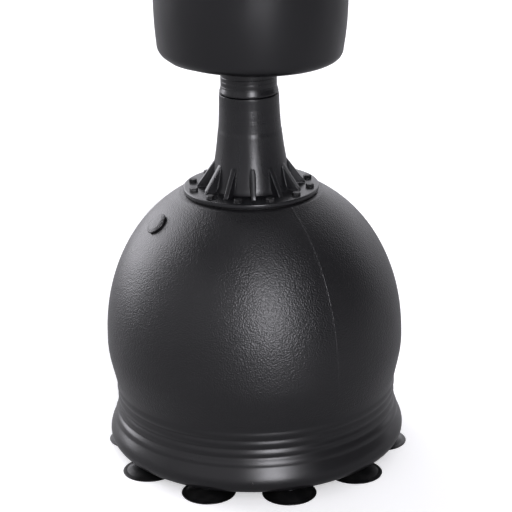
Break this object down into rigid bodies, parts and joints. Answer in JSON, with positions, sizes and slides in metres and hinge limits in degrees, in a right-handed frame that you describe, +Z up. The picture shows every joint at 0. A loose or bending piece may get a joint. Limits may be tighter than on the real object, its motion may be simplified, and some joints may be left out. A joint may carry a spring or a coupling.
{
  "type": "free-standing punch bag",
  "caption": "Free-standing punch bag: padded bag on a sprung post, gusseted neck bolted to a domed ballast tank on suction cups.",
  "frame": {"origin": "on the floor, under the middle of the tank", "axes": "+Z up along the bag's post, front towards -Y, the filler plug towards -X"},
  "size_m": [0.5478, 0.536, 1.75],
  "materials": {
    "tank_plastic": "satin",
    "neck_plastic": "satin",
    "cup_rubber": "satin",
    "seal_rubber": "matte",
    "black_bolts": "satin",
    "brass": "satin",
    "zinc_steel": "satin",
    "inner_plastic": "matte",
    "foam": "matte",
    "cover_leather": "satin",
    "sand": "matte"
  },
  "bodies": {
    "base": {"tank": "tank_plastic", "sand_ballast": "sand", "plug_seal": "seal_rubber", "threaded_inserts": "brass", "outer_cup_1": "cup_rubber", "outer_cup_2": "cup_rubber", "outer_cup_3": "cup_rubber", "outer_cup_4": "cup_rubber", "outer_cup_5": "cup_rubber", "outer_cup_6": "cup_rubber", "outer_cup_7": "cup_rubber", "outer_cup_8": "cup_rubber", "outer_cup_9": "cup_rubber", "outer_cup_10": "cup_rubber", "inner_cup_1": "cup_rubber", "inner_cup_2": "cup_rubber", "inner_cup_3": "cup_rubber", "inner_cup_4": "cup_rubber", "inner_cup_5": "cup_rubber", "centre_cup": "cup_rubber", "neck_gasket": "seal_rubber", "neck": "neck_plastic", "flange_bolts": "black_bolts", "collar": "neck_plastic", "lower_spring_plate": "zinc_steel", "lower_plate_bolts": "zinc_steel", "lower_plate_nuts": "zinc_steel"},
    "plug": {"filler_plug": "tank_plastic"},
    "spring": {"coil_spring": "zinc_steel"},
    "bag": {"upper_spring_plate": "zinc_steel", "recess_cup": "inner_plastic", "upper_plate_bolts": "zinc_steel", "upper_plate_nuts": "zinc_steel", "post": "zinc_steel", "post_cap": "inner_plastic", "foot_foam": "foam", "foam_core": "foam", "foam_wrap": "foam", "cover_side": "cover_leather", "cover_bottom": "cover_leather", "cover_top": "cover_leather", "top_piping": "cover_leather"}
  },
  "joints": [
    {"name": "sway_front_back", "type": "hinge", "parent": "base", "child": "spring", "pos_m": [0, 0, 0.772], "axis": [1, 0, 0], "range_deg": [-12, 12], "stiffness_Nm_per_rad": 900, "deforming": ["coil_spring"]},
    {"name": "sway_side", "type": "hinge", "parent": "spring", "child": "bag", "pos_m": [0, 0, 0.772], "axis": [0, 1, 0], "range_deg": [-12, 12], "stiffness_Nm_per_rad": 900},
    {"name": "plug_pull", "type": "slide", "parent": "base", "child": "plug", "axis": [-0.6383, -0.2579, 0.7253], "range_m": [0, 0.04]}
  ]
}
